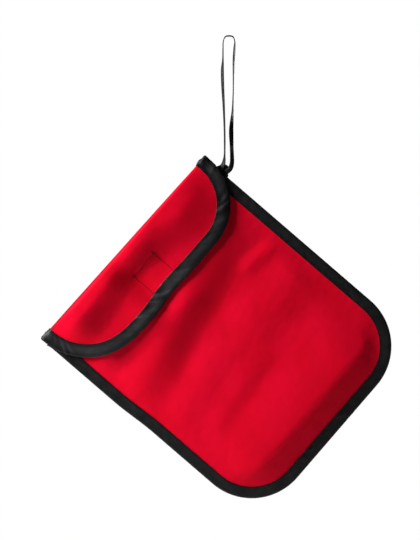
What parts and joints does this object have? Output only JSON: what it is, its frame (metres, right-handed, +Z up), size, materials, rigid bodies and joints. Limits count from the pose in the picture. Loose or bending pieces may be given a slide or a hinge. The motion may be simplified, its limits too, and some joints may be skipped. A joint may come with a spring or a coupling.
{
  "type": "fire blanket",
  "caption": "Fire blanket folded in a soft red pouch with bound edges, a hook-and-loop flap over its mouth and a ribbon loop that it hangs from.",
  "frame": {"origin": "where a peg touches the inner top of the hanging loop", "axes": "+Z up along the hanging loop, -Y out of the pouch's front, +X to the right seen from the front; the pouch hangs rolled by 49.25 degrees"},
  "size_m": [0.3388, 0.0195, 0.4547],
  "materials": {
    "red_nylon": "smooth woven nylon with a slight sheen",
    "black_tape": "woven tape with a soft sheen",
    "black_thread": "sewing thread",
    "dark_red_thread": "sewing thread",
    "loop_pile": "matte brushed pile",
    "hook_tape": "fine moulded hooks",
    "glass_cloth": "matte woven glass fibre"
  },
  "bodies": {
    "hanging_loop": {"hanging_loop": "black_tape"},
    "pouch": {"hanging_loop_ends": "black_tape", "hanging_loop_bar_tack": "black_thread", "back_panel": "red_nylon", "front_panel": "red_nylon", "pouch_binding": "black_tape", "pouch_binding_needle_thread": "black_thread", "pouch_binding_bobbin_thread": "black_thread", "mouth_binding": "black_tape", "mouth_binding_thread": "black_thread", "loop_patch": "loop_pile", "loop_patch_thread": "black_thread"},
    "flap": {"flap_panel": "red_nylon", "flap_binding": "black_tape", "flap_binding_thread": "black_thread", "hook_patch": "hook_tape", "hook_patch_thread": "dark_red_thread"},
    "blanket": {"blanket": "glass_cloth", "pull_tab_left": "black_tape", "pull_tab_right": "black_tape", "pull_tab_thread_left": "black_thread", "pull_tab_thread_right": "black_thread"}
  },
  "joints": [
    {"name": "pouch_swing", "type": "hinge", "parent": "hanging_loop", "child": "pouch", "pos_m": [-0.00723, 0, -0.13254], "axis": [0, 1, 0], "range_deg": [-45, 37]},
    {"name": "flap_fold", "type": "hinge", "parent": "pouch", "child": "flap", "pos_m": [-0.10157, 0, -0.21031], "axis": [-0.6528, 0, -0.7576], "range_deg": [0, 180]},
    {"name": "blanket_slide", "type": "slide", "parent": "pouch", "child": "blanket", "axis": [-0.7576, 0, 0.6528], "range_m": [0, 0.008]}
  ]
}
